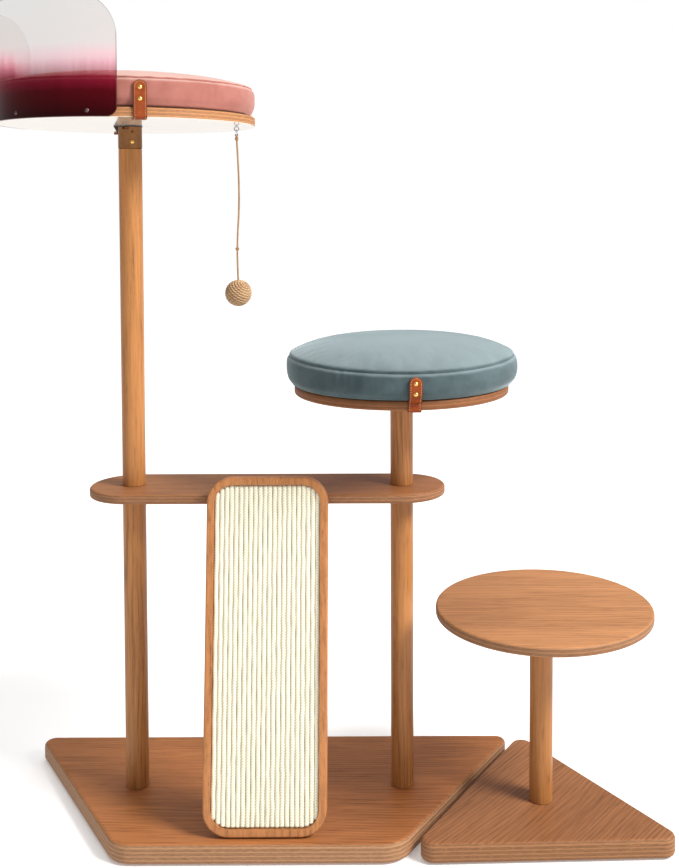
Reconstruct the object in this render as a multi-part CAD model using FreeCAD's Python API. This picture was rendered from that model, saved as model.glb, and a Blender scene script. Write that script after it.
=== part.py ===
import FreeCAD, Part
import math
import os

# Cat tree: a plywood base with two posts, a shelf, a middle perch, a turning top perch
# with a clear screen and a hanging toy, a leaning scratching board, and a loose side table.
# Built about the left post's axis, then moved so that the origin is the middle of the
# footprint on the floor. +X right, +Y to the back, +Z up. Millimetres.

V = FreeCAD.Vector
X_AXIS = V(1, 0, 0)
Y_AXIS = V(0, 1, 0)
Z_AXIS = V(0, 0, 1)

# ---- driving dimensions ----------------------------------------------------------------
POST_R = 19.0                   # wooden dowel, 38 mm
POST_CHAMFER = 1.0
RIGHT_POST_X = 448.0            # from the left post
SIDE_POST = (676.0, -52.0)

PAD_T = 2.0                     # felt pads under the bases
PAD_R = 12.0
BASE_TOP = 34.0
BASE_ROUND = 7.0                # round-over of the base's long edges
BASE_CORNERS = [(-219.0, 169.0, 18.0), (3.0, -179.0, 50.0), (445.0, -179.0, 50.0), (651.0, 169.0, 18.0)]
SIDE_CORNERS = [(460.0, -181.0, 20.0), (889.0, -169.0, 20.0), (665.0, 172.0, 20.0)]
PAD_INSET = 40.0

PLY_T = 15.0                    # shelf and perches
PLY_ROUND = 4.0
SHELF_Z = 532.0
SHELF_HALF = 72.0
MID_Z = 703.0
MID_R = 178.0
SIDE_Z = 344.0
SIDE_R = 177.0
SIDE_TOP_X = 4.0                # side table's centre, beside its post's axis

TOP_Z = 1145.0                  # underside of the top perch
TOP_R = 207.0
TOP_X = -2.0                    # the top disc's centre, beside the post's axis
LAMINATE_T = 1.0

SLEEVE_H = 35.0
SLEEVE_R = 19.3
TENON_R = 15.0
TENON_CLEAR = 0.06
PLATE_T = 2.0
TURN_GAP = 0.3                  # between the parts that turn and the post

SCREEN_T = 3.0
SCREEN_TOP = 1328.0
SCREEN_ARC = (155.0, 279.0)     # degrees about the disc's centre
SCREEN_SCREWS = (267.0, 232.0, 197.0, 162.0)
SCREEN_TOP_CORNER = 65.0
SCREEN_LOW_CORNER = 16.0
CORNER_OVER = 0.3               # how far a corner's circle passes over the sheet's edge

STRAP_T = 2.5
STRAP_W = 20.0
STRAP_UNDER = 25.0
RIVET_R = 3.4
BLUE_STRAP_TOP = 757.0
PINK_STRAP_TOP = 1200.0
BLUE_STRAPS = (276.0, 96.0)     # degrees about the disc's centre
PINK_STRAPS = (288.0, 108.0)
BLUE_RIVETS = (731.0, 747.0)
PINK_RIVETS = (1172.0, 1189.0)

BOARD_W = 193.0
BOARD_L = 549.0
BOARD_T = 18.0
BOARD_RIM = 12.0
BOARD_CORNER = 41.0
BOARD_X = 233.0
BOARD_FOOT_Y = -147.0           # rear lower edge of the board
MAT_RECESS = 3.0
PANEL_FRONT = 8.0               # back panel, from the board's rear face
PANEL_BACK = 2.0

INSERT_R = 6.0
INSERT_L = 20.0
STUD_R = 3.95
CLEAR = 0.05

EYE_X = 176.0
EYE_RING_R = 3.6
EYE_WIRE_R = 1.1
EYE_DROP = 5.0                  # eye's centre below the disc
LINK_R = 4.2
LINK_WIRE_R = 0.9
CORD_R = 1.35
BALL_R = 22.0
BALL_Z = 868.0

SHELF_TOP = SHELF_Z + PLY_T
MID_TOP = MID_Z + PLY_T
TOP_TOP = TOP_Z + PLY_T
SLEEVE_TOP = TOP_Z - PLATE_T
SLEEVE_LOW = SLEEVE_TOP - SLEEVE_H
EYE_Z = TOP_Z - EYE_DROP
LINK_TOP_Z = EYE_Z - EYE_RING_R + EYE_WIRE_R + LINK_WIRE_R + 0.1
LINK_Z = LINK_TOP_Z - LINK_R
LINK_LOW_Z = LINK_Z - LINK_R
LEAN = math.degrees(math.atan((-SHELF_HALF - 0.6 - BOARD_FOOT_Y) / (SHELF_TOP - BASE_TOP)))

nodes = {}


# ---- shapes ----------------------------------------------------------------------------
def cylinder(radius, low, high, x=0.0, y=0.0):
    """Upright cylinder from z low to z high."""
    return Part.makeCylinder(radius, high - low, V(x, y, low))


def tube(outer, inner, low, high, x=0.0, y=0.0):
    return cylinder(outer, low, high, x, y).cut(cylinder(inner, low - 1, high + 1, x, y))


def outline(corners):
    """Closed wire through corners (x, y, radius), counter-clockwise, with tangent arcs."""
    count = len(corners)
    arcs = []
    for i, (x, y, radius) in enumerate(corners):
        here = V(x, y, 0)
        back = V(corners[i - 1][0], corners[i - 1][1], 0).sub(here).normalize()
        ahead = V(corners[(i + 1) % count][0], corners[(i + 1) % count][1], 0).sub(here).normalize()
        half = back.getAngle(ahead) / 2
        run = radius / math.tan(half)
        middle = back.add(ahead).normalize()
        crest = here.add(middle * (radius / math.sin(half) - radius))
        arcs.append((here.add(back * run), crest, here.add(ahead * run)))
    edges = []
    for i, (start, crest, end) in enumerate(arcs):
        edges.append(Part.Arc(start, crest, end).toShape())
        edges.append(Part.LineSegment(end, arcs[(i + 1) % count][0]).toShape())
    return Part.Wire(edges)


def slab(corners, low, high, rounding):
    """Plate with the given outline and rounded long edges."""
    face = Part.Face(outline(corners))
    face.translate(V(0, 0, low))
    solid = face.extrude(V(0, 0, high - low))
    rims = [e for e in solid.Edges if e.BoundBox.ZLength < 1e-6]
    return solid.makeFillet(rounding, rims)


def round_disc(radius, low, high, x, y, top_round, low_round):
    solid = cylinder(radius, low, high, x, y)
    for level, size in ((high, top_round), (low, low_round)):
        rim = [e for e in solid.Edges if abs(e.BoundBox.ZMin - level) < 1e-6 and e.BoundBox.ZLength < 1e-6]
        solid = solid.makeFillet(size, rim)
    return solid


def rectangle(width, height, radius):
    """Corners of an upright rounded rectangle standing on y = 0."""
    half = width / 2
    return [(-half, 0, radius), (half, 0, radius), (half, height, radius), (-half, height, radius)]


def radial(radius, start, end, angle, z, x=0.0, y=0.0):
    """Cylinder along the radius at angle degrees, from start to end of it."""
    a = math.radians(angle)
    along = V(math.cos(a), math.sin(a), 0)
    return Part.makeCylinder(radius, end - start, V(x, y, z).add(along * start), along)


def dome_screw(head_r, head_h, shank_r, seat, tip, angle, z, x=0.0, y=0.0):
    """Round-headed screw or rivet on a curved wall: seat and tip are distances from the axis."""
    ball_r = (head_r ** 2 + head_h ** 2) / (2 * head_h)
    half = head_r / 2
    shoulder = seat + head_h - ball_r + math.sqrt(ball_r ** 2 - half ** 2)
    solid = turned([line((0, tip), (shank_r, tip)), line((shank_r, tip), (shank_r, seat)),
                    line((shank_r, seat), (head_r, seat)), bow((head_r, seat), (half, shoulder), (0, seat + head_h)),
                    line((0, seat + head_h), (0, tip))], 0, 0)
    solid.rotate(V(0, 0, 0), Y_AXIS, 90)
    solid.rotate(V(0, 0, 0), Z_AXIS, angle)
    solid.translate(V(x, y, z))
    return solid


def turned(edges, x, y, start=0.0, sweep=360.0):
    """Solid turned about the upright axis at (x, y) from edges in the XZ plane."""
    face = Part.Face(Part.Wire(edges))
    face.rotate(V(0, 0, 0), Z_AXIS, start)
    solid = face.revolve(V(0, 0, 0), Z_AXIS, sweep)
    solid.translate(V(x, y, 0))
    if solid.Volume < 0:
        solid.reverse()
    return solid


def line(a, b):
    return Part.LineSegment(V(a[0], 0, a[1]), V(b[0], 0, b[1])).toShape()


def bow(a, b, c):
    return Part.Arc(V(a[0], 0, a[1]), V(b[0], 0, b[1]), V(c[0], 0, c[1])).toShape()


def union(solids):
    return Part.makeCompound(solids)


# ---- posts, bases and shelf ------------------------------------------------------------
def post(x, y, low, high):
    """Dowel with a threaded insert's hole in each end."""
    solid = cylinder(POST_R, low, high, x, y)
    rims = [e for e in solid.Edges if e.BoundBox.ZLength < 1e-6]
    solid = solid.makeChamfer(POST_CHAMFER, rims)
    for a, b in ((low - 1, low + INSERT_L + 10), (high - INSERT_L - 10, high + 1)):
        solid = solid.cut(cylinder(INSERT_R, a, b, x, y))
    return solid


def inserts(x, y, levels):
    return [tube(INSERT_R - CLEAR, STUD_R + CLEAR, z, z + INSERT_L, x, y) for z in levels]


def base_bolt(x, y):
    """Bolt from a counterbore in the base's underside up into the post."""
    return cylinder(6.5, PAD_T + 2, PAD_T + 8, x, y).fuse(cylinder(STUD_R, PAD_T + 8, BASE_TOP + 24, x, y))


def base_holes(solid, places):
    for x, y in places:
        solid = solid.cut(cylinder(12.0, PAD_T - 1, PAD_T + 10, x, y))
        solid = solid.cut(cylinder(4.3, PAD_T, BASE_TOP + 1, x, y))
    return solid


def pads(corners):
    """Felt pads just inside each corner of a base."""
    middle_x = sum(c[0] for c in corners) / len(corners)
    middle_y = sum(c[1] for c in corners) / len(corners)
    places = []
    for x, y, radius in corners:
        away = V(middle_x - x, middle_y - y, 0).normalize() * (PAD_INSET + radius * 0.4)
        places.append((x + away.x, y + away.y))
    return places


def build_bases():
    shelf = slab([(-SHELF_HALF, SHELF_HALF, SHELF_HALF - 0.5), (-SHELF_HALF, -SHELF_HALF, SHELF_HALF - 0.5),
                  (RIGHT_POST_X + SHELF_HALF, -SHELF_HALF, SHELF_HALF - 0.5),
                  (RIGHT_POST_X + SHELF_HALF, SHELF_HALF, SHELF_HALF - 0.5)], SHELF_Z, SHELF_TOP, PLY_ROUND)
    for x in (0.0, RIGHT_POST_X):
        shelf = shelf.cut(cylinder(4.3, SHELF_Z - 1, SHELF_TOP + 1, x, 0))
    base = base_holes(slab(BASE_CORNERS, PAD_T, BASE_TOP, BASE_ROUND), [(0, 0), (RIGHT_POST_X, 0)])
    nodes["main_base"] = base
    nodes["shelf"] = shelf
    nodes["side_base"] = base_holes(slab(SIDE_CORNERS, PAD_T, BASE_TOP, BASE_ROUND), [SIDE_POST])
    main_pads = pads(BASE_CORNERS) + [((BASE_CORNERS[1][0] + BASE_CORNERS[2][0]) / 2, BASE_CORNERS[1][1] + PAD_INSET)]
    nodes["main_base_pads"] = union([cylinder(PAD_R, 0, PAD_T, x, y) for x, y in main_pads])
    nodes["side_base_pads"] = union([cylinder(PAD_R, 0, PAD_T, x, y) for x, y in pads(SIDE_CORNERS)])
    mains = [(0, 0), (RIGHT_POST_X, 0)]
    nodes["base_bolts"] = union([base_bolt(x, y) for x, y in mains])
    nodes["base_washers"] = union([tube(10.0, 4.2, PAD_T + 8, PAD_T + 10, x, y) for x, y in mains])
    nodes["side_base_bolt"] = base_bolt(*SIDE_POST)
    nodes["side_base_washer"] = tube(10.0, 4.2, PAD_T + 8, PAD_T + 10, *SIDE_POST)


def build_posts():
    right = RIGHT_POST_X
    nodes["left_lower_post"] = post(0, 0, BASE_TOP, SHELF_Z)
    nodes["right_lower_post"] = post(right, 0, BASE_TOP, SHELF_Z)
    nodes["right_upper_post"] = post(right, 0, SHELF_TOP, MID_Z)
    nodes["side_post"] = post(SIDE_POST[0], SIDE_POST[1], BASE_TOP, SIDE_Z)
    upper = cylinder(POST_R, SHELF_TOP, SLEEVE_LOW - TURN_GAP)
    upper = upper.makeChamfer(POST_CHAMFER, [e for e in upper.Edges if e.BoundBox.ZLength < 1e-6])
    upper = upper.fuse(cylinder(TENON_R, SLEEVE_LOW - 5, SLEEVE_TOP - TURN_GAP)).removeSplitter()
    nodes["left_upper_post"] = upper.cut(cylinder(INSERT_R, SHELF_TOP - 1, SHELF_TOP + INSERT_L + 10))
    top_of = {"low": BASE_TOP, "under": SHELF_Z - INSERT_L, "over": SHELF_TOP}
    left_inserts = inserts(0, 0, top_of.values())
    right_inserts = inserts(right, 0, list(top_of.values()) + [MID_Z - INSERT_L])
    nodes["post_inserts"] = union(left_inserts + right_inserts)
    nodes["side_post_inserts"] = union(inserts(*SIDE_POST, (BASE_TOP, SIDE_Z - INSERT_L)))
    nodes["shelf_studs"] = union([cylinder(STUD_R, SHELF_Z - 14, SHELF_TOP + 14, x, 0) for x in (0, right)])


def perch(name, radius, low, x, y, aside=0.0):
    """Plywood disc on a post at (x, y), held by a stud in a nut set in its underside."""
    nut_top = low + 10
    disc = round_disc(radius, low, low + PLY_T, x + aside, y, PLY_ROUND, PLY_ROUND)
    nodes[name] = disc.cut(cylinder(INSERT_R, low - 1, nut_top + 1, x, y))
    nodes[name + "_nut"] = tube(INSERT_R - CLEAR, STUD_R + CLEAR, low, nut_top, x, y)
    nodes[name + "_stud"] = cylinder(STUD_R, low - 16, nut_top - 0.5, x, y)


# ---- cushions and straps ---------------------------------------------------------------
def cushion(side, crown, x, y):
    """Round cushion: side is its bowed wall (low, middle, top), and a shallow dome rises to crown."""
    low, middle, top = side
    rise = crown - top[1]
    ball_r = (top[0] ** 2 + rise ** 2) / (2 * rise)
    shoulder = (top[0] / 2, crown - ball_r + math.sqrt(ball_r ** 2 - (top[0] / 2) ** 2))
    return turned([line((0, low[1]), low), bow(low, middle, top), bow(top, shoulder, (0, crown)),
                   line((0, crown), (0, low[1]))], x, y)


def strap(inner, outer, low, disc_r, angle, x, y):
    """Leather strap: a leg under the disc, then up its rim and the cushion's wall."""
    foot = disc_r - STRAP_UNDER
    under = low - 0.2
    edges = [line((foot, under), (inner[0][0], under)), line((inner[0][0], under), inner[0])]
    edges.append(bow(*inner))
    edges.append(line(inner[2], outer[2]))
    edges.append(bow(outer[2], outer[1], outer[0]))
    edges.append(line(outer[0], (outer[0][0], under - STRAP_T)))
    edges.append(line((outer[0][0], under - STRAP_T), (foot, under - STRAP_T)))
    edges.append(line((foot, under - STRAP_T), (foot, under)))
    width = math.degrees(STRAP_W / disc_r)
    return turned(edges, x, y, angle - width / 2, width)


def wall_radius(points, z):
    """Radius of a bowed wall at height z."""
    circle = bow(*points).Curve
    return circle.Center.x + math.sqrt(circle.Radius ** 2 - (z - circle.Center.z) ** 2)


def strap_set(colour, disc_r, low, side, top, angles, rivets, x, y):
    """Both straps of a cushion and their rivets."""
    disc_top = low + PLY_T
    if side[1][0] > disc_r + 2:
        start = disc_r + 0.4
        middle = (side[1][0] + 0.4, side[1][1])
        end = (wall_radius(side, top) + 0.4, top)
    else:
        start = disc_r + 0.4
        middle = (start + 0.02, (disc_top + top) / 2)
        end = (start, top)
    inner = [(start, disc_top), middle, end]
    outer = [(p[0] + STRAP_T, p[1]) for p in inner]
    pins = []
    for label, angle in zip(("front", "back"), angles):
        solid = strap(inner, outer, low, disc_r, angle, x, y)
        for z in rivets:
            face = max(wall_radius(outer, z + step) for step in (-RIVET_R, 0.0, RIVET_R))
            solid = solid.cut(radial(1.5, face - 9, face + 8, angle, z, x, y))
            tip = wall_radius(inner, z) + 0.2
            pins.append(dome_screw(RIVET_R, 1.8, 1.4, face + 0.1, tip, angle, z, x, y))
        nodes[colour + "_strap_" + label] = solid
    nodes[colour + "_strap_rivets"] = union(pins)


def build_cushions():
    blue = [(MID_R - 2, MID_TOP + 0.3), (MID_R + 15, MID_TOP + 20), (MID_R + 10, MID_TOP + 42)]
    nodes["blue_cushion"] = cushion(blue, MID_TOP + 76, RIGHT_POST_X, 0)
    strap_set("blue", MID_R, MID_Z, blue, BLUE_STRAP_TOP, BLUE_STRAPS, BLUE_RIVETS, RIGHT_POST_X, 0)
    pink = [(TOP_R - 2, TOP_TOP + 0.3), (TOP_R - 0.4, TOP_TOP + 23), (TOP_R - 2, TOP_TOP + 46)]
    nodes["pink_cushion"] = cushion(pink, TOP_TOP + 70, TOP_X, 0)
    strap_set("pink", TOP_R, TOP_Z, pink, PINK_STRAP_TOP, PINK_STRAPS, PINK_RIVETS, TOP_X, 0)


# ---- top perch -------------------------------------------------------------------------
def plate_screw(angle, gap=0.0):
    """Countersunk wood screw up through the plate into the disc, or its hole with a gap round it."""
    x = 9 * math.cos(math.radians(angle))
    y = 9 * math.sin(math.radians(angle))
    head = Part.makeCone(3.6 + gap, 1.9 + gap, PLATE_T, V(x, y, SLEEVE_TOP))
    return head.fuse(cylinder(1.9 + gap, SLEEVE_TOP + PLATE_T - 0.1, TOP_Z + 11 + gap, x, y))


def build_top():
    screws = [plate_screw(angle) for angle in (90, 210, 330)]
    holes = [plate_screw(angle, CLEAR) for angle in (90, 210, 330)]
    plate = cylinder(20.0, SLEEVE_TOP, TOP_Z).fuse(Part.makeBox(26, 8, PLATE_T, V(-26, -4, SLEEVE_TOP)))
    disc = round_disc(TOP_R, TOP_Z + LAMINATE_T, TOP_TOP, TOP_X, 0, 3.0, 0.5)
    laminate = cylinder(TOP_R - 0.5, TOP_Z, TOP_Z + LAMINATE_T, TOP_X, 0)
    eye_hole = cylinder(1.15, TOP_Z - 1, TOP_Z + 10, EYE_X, 0)
    disc = disc.cut(union(holes)).cut(eye_hole)
    laminate = laminate.cut(union(holes)).cut(eye_hole)
    for angle in SCREEN_SCREWS:
        disc = disc.cut(radial(1.5, TOP_R - 14, TOP_R + 5, angle, TOP_Z + 9, TOP_X, 0))
    nodes["top_disc"] = disc
    nodes["top_laminate"] = laminate
    nodes["sleeve_plate"] = plate.cut(union(holes))
    nodes["plate_screws"] = union(screws)

    sleeve = tube(SLEEVE_R, TENON_R + TENON_CLEAR, SLEEVE_LOW, SLEEVE_TOP)
    for z, radius in ((SLEEVE_TOP - 8, 1.9), (SLEEVE_TOP - 25, 2.3)):
        sleeve = sleeve.cut(radial(radius, 10, 30, -66, z))
    for angle in (-108, -103, -98, -93, -88):
        sleeve = sleeve.cut(radial(2.4, 10, 30, angle, SLEEVE_TOP - 2.0))
    nodes["sleeve"] = sleeve
    nodes["lock_screw"] = dome_screw(3.1, 1.7, 2.2, SLEEVE_R + 0.1, TENON_R + 0.2, -66, SLEEVE_TOP - 25)
    wedge = Part.Face(Part.makePolygon([V(-18, -1.5, SLEEVE_TOP), V(-26, -1.5, SLEEVE_TOP),
                                        V(-18, -1.5, SLEEVE_TOP - 14), V(-18, -1.5, SLEEVE_TOP)]))
    wedge = wedge.extrude(V(0, 3, 0))
    nodes["sleeve_gusset"] = wedge.cut(cylinder(SLEEVE_R + CLEAR, SLEEVE_LOW - 1, SLEEVE_TOP + 1))


def band(inner, outer, low, high, start, end):
    """Part of an upright tube between two angles about the top disc's centre."""
    edges = [line((inner, low), (outer, low)), line((outer, low), (outer, high)),
             line((outer, high), (inner, high)), line((inner, high), (inner, low))]
    return turned(edges, TOP_X, 0, start, end - start)


def corner_cutter(radius, middle, way, angle, side):
    """What lies outside a corner's quarter circle, carried through the sheet along the radius."""
    reach = radius + 8.0
    slant = radius * math.sqrt(0.5)
    points = [(0, radius), (slant, slant), (radius, 0), (reach, 0), (reach, reach), (0, reach)]
    points = [V(0, side * t, middle + way * u) for t, u in points]
    edges = [Part.Arc(points[0], points[1], points[2]).toShape()]
    for a, b in zip(points[2:], points[3:] + points[:1]):
        edges.append(Part.LineSegment(a, b).toShape())
    face = Part.Face(Part.Wire(edges))
    face.translate(V(TOP_R - 60, 0, 0))
    solid = face.extrude(V(90, 0, 0))
    solid.rotate(V(0, 0, 0), Z_AXIS, angle)
    solid.translate(V(TOP_X, 0, 0))
    return solid


def build_screen():
    """Curved sheet round the rim, with large upper and small lower corners."""
    inner = TOP_R + 0.3
    start, end = SCREEN_ARC
    sheet = band(inner, inner + SCREEN_T, TOP_Z, SCREEN_TOP, start, end)
    for radius, level, way in ((SCREEN_TOP_CORNER, SCREEN_TOP, 1), (SCREEN_LOW_CORNER, TOP_Z, -1)):
        turn = math.degrees(math.asin((radius - CORNER_OVER) / (inner + SCREEN_T)))
        middle = level - way * (radius - CORNER_OVER)
        for angle, side in ((start + turn, -1), (end - turn, 1)):
            sheet = sheet.cut(corner_cutter(radius, middle, way, angle, side))
    screws = []
    for angle in SCREEN_SCREWS:
        sheet = sheet.cut(radial(1.7, inner - 5, inner + 10, angle, TOP_Z + 9, TOP_X, 0))
        screws.append(dome_screw(3.2, 1.6, 1.4, inner + SCREEN_T + 0.05, TOP_R - 13, angle, TOP_Z + 9, TOP_X, 0))
    nodes["screen"] = sheet
    nodes["screen_screws"] = union(screws)


# ---- toy -------------------------------------------------------------------------------
def bent_tube(points, radius):
    """Tube along straight runs joined by arcs as large as the runs allow."""
    edges = []
    at = points[0]
    radii = []
    for i in range(1, len(points) - 1):
        back = points[i - 1].sub(points[i])
        ahead = points[i + 1].sub(points[i])
        turn = math.pi - back.getAngle(ahead)
        shorter = min(back.Length, ahead.Length)
        bend = 0.45 * shorter / math.tan(turn / 2)
        back.normalize()
        ahead.normalize()
        start = points[i].add(back * (0.45 * shorter))
        finish = points[i].add(ahead * (0.45 * shorter))
        middle = back.add(ahead).normalize()
        crest = points[i].add(middle * (bend / math.cos(turn / 2) - bend))
        edges.append(Part.LineSegment(at, start).toShape())
        edges.append(Part.Arc(start, crest, finish).toShape())
        radii.append(round(bend))
        at = finish
    edges.append(Part.LineSegment(at, points[-1]).toShape())
    path = Part.Wire(edges)
    ring = Part.Wire(Part.makeCircle(radius, points[0], points[1].sub(points[0])))
    solid = path.makePipeShell([ring], True, False)
    print("toy cord radii", radii, "length", round(path.Length, 1),
          "volume ratio", round(solid.Volume / (math.pi * radius ** 2 * path.Length), 4))
    return solid


# the twine hangs in a slight curve from the ring down to the ball
CORD_ROUTE = [(EYE_X, 0.0, LINK_LOW_Z - LINK_WIRE_R - 0.35), (EYE_X + 2.0, 0.4, 1088.5),
              (EYE_X + 3.4, 1.0, 1046.5), (EYE_X + 3.0, 1.2, 1005.5), (EYE_X + 0.4, 0.4, 966.0),
              (EYE_X - 0.6, -0.5, 926.5), (EYE_X + 1.0, 0.0, BALL_Z + BALL_R - 3.0)]


def build_toy():
    ring = Part.makeTorus(EYE_RING_R, EYE_WIRE_R, V(EYE_X, 0, EYE_Z), Y_AXIS)
    shank = cylinder(1.1, EYE_Z + EYE_RING_R, TOP_Z + 9, EYE_X, 0)
    nodes["toy_eye"] = ring.fuse(shank)
    nodes["toy_ring"] = Part.makeTorus(LINK_R, LINK_WIRE_R, V(EYE_X, 0, LINK_Z), X_AXIS)
    nodes["toy_cord"] = bent_tube([V(*p) for p in CORD_ROUTE], CORD_R)
    nodes["toy_ball"] = Part.makeSphere(BALL_R, V(EYE_X + 1.0, 0, BALL_Z))


# ---- scratching board ------------------------------------------------------------------
def upright(corners, rear, front):
    """Plate in the board's own frame: its outline upright, its rear face at y = -rear."""
    face = Part.Face(outline(corners))
    face.rotate(V(0, 0, 0), X_AXIS, 90)
    face.translate(V(0, -rear, 0))
    return face.extrude(V(0, rear - front, 0))


def leaning(solid):
    """Tip the board back on to the shelf and set it on the base."""
    solid.rotate(V(0, 0, 0), X_AXIS, -LEAN)
    solid.translate(V(BOARD_X, BOARD_FOOT_Y, BASE_TOP))
    return solid


def inner_corners(gap):
    radius = BOARD_CORNER - BOARD_RIM - gap
    inside = rectangle(BOARD_W - 2 * (BOARD_RIM + gap), BOARD_L - 2 * (BOARD_RIM + gap), radius)
    return [(x, y + BOARD_RIM + gap, r) for x, y, r in inside]


def build_board():
    frame = upright(rectangle(BOARD_W, BOARD_L, BOARD_CORNER), 0, BOARD_T)
    front_edges = [e for e in frame.Edges
                   if abs(e.BoundBox.YMin + BOARD_T) < 1e-6 and e.BoundBox.YLength < 1e-6]
    frame = frame.makeFillet(3.0, front_edges)
    frame = leaning(frame.cut(upright(inner_corners(0.0), -1, BOARD_T + 1)))
    panel = leaning(upright(inner_corners(0.2), PANEL_BACK, PANEL_FRONT))
    nodes["scratcher_mat"] = leaning(upright(inner_corners(0.4), PANEL_FRONT + 0.2, BOARD_T - MAT_RECESS))

    level = SHELF_Z + PLY_T / 2
    panel_y = BOARD_FOOT_Y - PANEL_FRONT + (level - BASE_TOP) * math.tan(math.radians(LEAN))
    screws = []
    dowels = []
    for x in (BOARD_X - 40, BOARD_X + 40):
        head = Part.makeCylinder(3.8, 1.6, V(x, panel_y + 0.4, level), Y_AXIS)
        shank = Part.makeCylinder(1.9, 30, V(x, panel_y + 1.5, level), Y_AXIS)
        screws.append(head.fuse(shank))
        panel = panel.cut(Part.makeCylinder(4.0, 12, V(x, panel_y - 10, level), Y_AXIS))
        panel = panel.cut(Part.makeCylinder(2.0, 20, V(x, panel_y, level), Y_AXIS))
        nodes["shelf"] = nodes["shelf"].cut(Part.makeCylinder(1.95, 36, V(x, panel_y, level), Y_AXIS))
        dowels.append(cylinder(4.0, BASE_TOP - 12, BASE_TOP + 9, x, BOARD_FOOT_Y - BOARD_T / 2))
        sink = cylinder(4.0 + CLEAR, BASE_TOP - 13, BASE_TOP + 10, x, BOARD_FOOT_Y - BOARD_T / 2)
        frame = frame.cut(sink)
        nodes["main_base"] = nodes["main_base"].cut(sink)
    nodes["scratcher_frame"] = frame
    nodes["scratcher_panel"] = panel
    nodes["scratcher_screws"] = union(screws)
    nodes["scratcher_dowels"] = union(dowels)


def main():
    build_bases()
    build_posts()
    perch("middle_disc", MID_R, MID_Z, RIGHT_POST_X, 0)
    perch("side_table_top", SIDE_R, SIDE_Z, SIDE_POST[0], SIDE_POST[1], SIDE_TOP_X)
    build_cushions()
    build_top()
    build_screen()
    build_toy()
    build_board()
    box = Part.makeCompound(list(nodes.values())).optimalBoundingBox(False, False)
    shift = V(-box.Center.x, -box.Center.y, -box.ZMin)
    print("box", round(box.XLength, 2), round(box.YLength, 2), round(box.ZLength, 2), "shift", shift)
    os.makedirs("parts", exist_ok=True)
    for name, shape in nodes.items():
        shape.translate(shift)
        valid = shape.isValid() and shape.Volume > 0
        print(name, "solids", len(shape.Solids), "volume", round(shape.Volume / 1000, 2), "" if valid else "BAD")
        shape.exportStep("parts/" + name + ".step")


main()
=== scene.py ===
"""Cat tree: wood, velvet, leather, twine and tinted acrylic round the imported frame. Metres."""
import math

import bmesh
import bpy
import numpy as np
from mathutils import Matrix, Vector


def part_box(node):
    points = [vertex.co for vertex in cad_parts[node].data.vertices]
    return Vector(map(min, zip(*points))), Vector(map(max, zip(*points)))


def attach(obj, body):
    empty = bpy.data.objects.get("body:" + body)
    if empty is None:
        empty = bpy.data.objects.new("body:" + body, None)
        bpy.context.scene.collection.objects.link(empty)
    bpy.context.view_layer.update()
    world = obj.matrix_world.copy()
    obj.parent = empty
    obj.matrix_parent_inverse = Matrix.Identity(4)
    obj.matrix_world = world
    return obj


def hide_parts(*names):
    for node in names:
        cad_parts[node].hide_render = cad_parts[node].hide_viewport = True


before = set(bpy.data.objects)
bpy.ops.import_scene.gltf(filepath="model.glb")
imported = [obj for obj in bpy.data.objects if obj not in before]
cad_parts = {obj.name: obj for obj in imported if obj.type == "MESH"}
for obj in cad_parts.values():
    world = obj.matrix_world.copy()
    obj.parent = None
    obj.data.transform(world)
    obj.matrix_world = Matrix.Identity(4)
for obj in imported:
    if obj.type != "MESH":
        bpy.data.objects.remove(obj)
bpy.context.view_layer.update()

MM = 0.001
TAU = 2 * math.pi
scene = bpy.context.scene


# ---- where things are ------------------------------------------------------------------
def centre(node):
    """Middle of a node's box."""
    low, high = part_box(node)
    return (low + high) / 2


def disc_of(node):
    """Axis x and y, radius, underside and top of a round node, as plain numbers."""
    low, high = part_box(node)
    return (low.x + high.x) / 2, (low.y + high.y) / 2, (high.x - low.x) / 2, low.z, high.z


MID_X, MID_Y, MID_R, MID_LOW, MID_TOP = disc_of("middle_disc")
TOP_X, TOP_Y, TOP_R, _, TOP_TOP = disc_of("top_disc")
TOP_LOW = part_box("top_laminate")[0].z
SCREEN_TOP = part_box("screen")[1].z
SIDE_LOW, SIDE_TOP = disc_of("side_table_top")[3:]


# ---- camera, floor and light -----------------------------------------------------------
CAMERA_AT = (0.10570, -1.81909, 1.02103)
CAMERA_YAW, CAMERA_PITCH, CAMERA_ROLL = 0.0047, 0.0404, -0.0023


def make_camera():
    """Camera in front: yaw turns it right, pitch tips it down, roll turns it about its own line."""
    ahead = Vector((math.sin(CAMERA_YAW) * math.cos(CAMERA_PITCH),
                    math.cos(CAMERA_YAW) * math.cos(CAMERA_PITCH), -math.sin(CAMERA_PITCH)))
    right = Vector((math.cos(CAMERA_YAW), -math.sin(CAMERA_YAW), 0))
    up = right.cross(ahead)
    across = math.cos(CAMERA_ROLL) * right + math.sin(CAMERA_ROLL) * up
    over = -math.sin(CAMERA_ROLL) * right + math.cos(CAMERA_ROLL) * up
    data = bpy.data.cameras.new("camera")
    data.lens = 45.69
    data.sensor_width = 36.0
    data.shift_x = -0.0686
    data.shift_y = -0.2177
    camera = bpy.data.objects.new("camera", data)
    camera.matrix_world = Matrix((across, over, -ahead)).transposed().to_4x4()
    camera.location = CAMERA_AT
    scene.collection.objects.link(camera)
    scene.camera = camera


def area_light(name, place, aim, size, power, colour):
    data = bpy.data.lights.new(name, "AREA")
    data.shape = "DISK"
    data.size = size
    data.energy = power
    data.color = colour
    lamp = bpy.data.objects.new(name, data)
    lamp.location = place
    lamp.rotation_euler = (Vector(place) - Vector(aim)).to_track_quat("Z", "Y").to_euler()
    scene.collection.objects.link(lamp)


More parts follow.
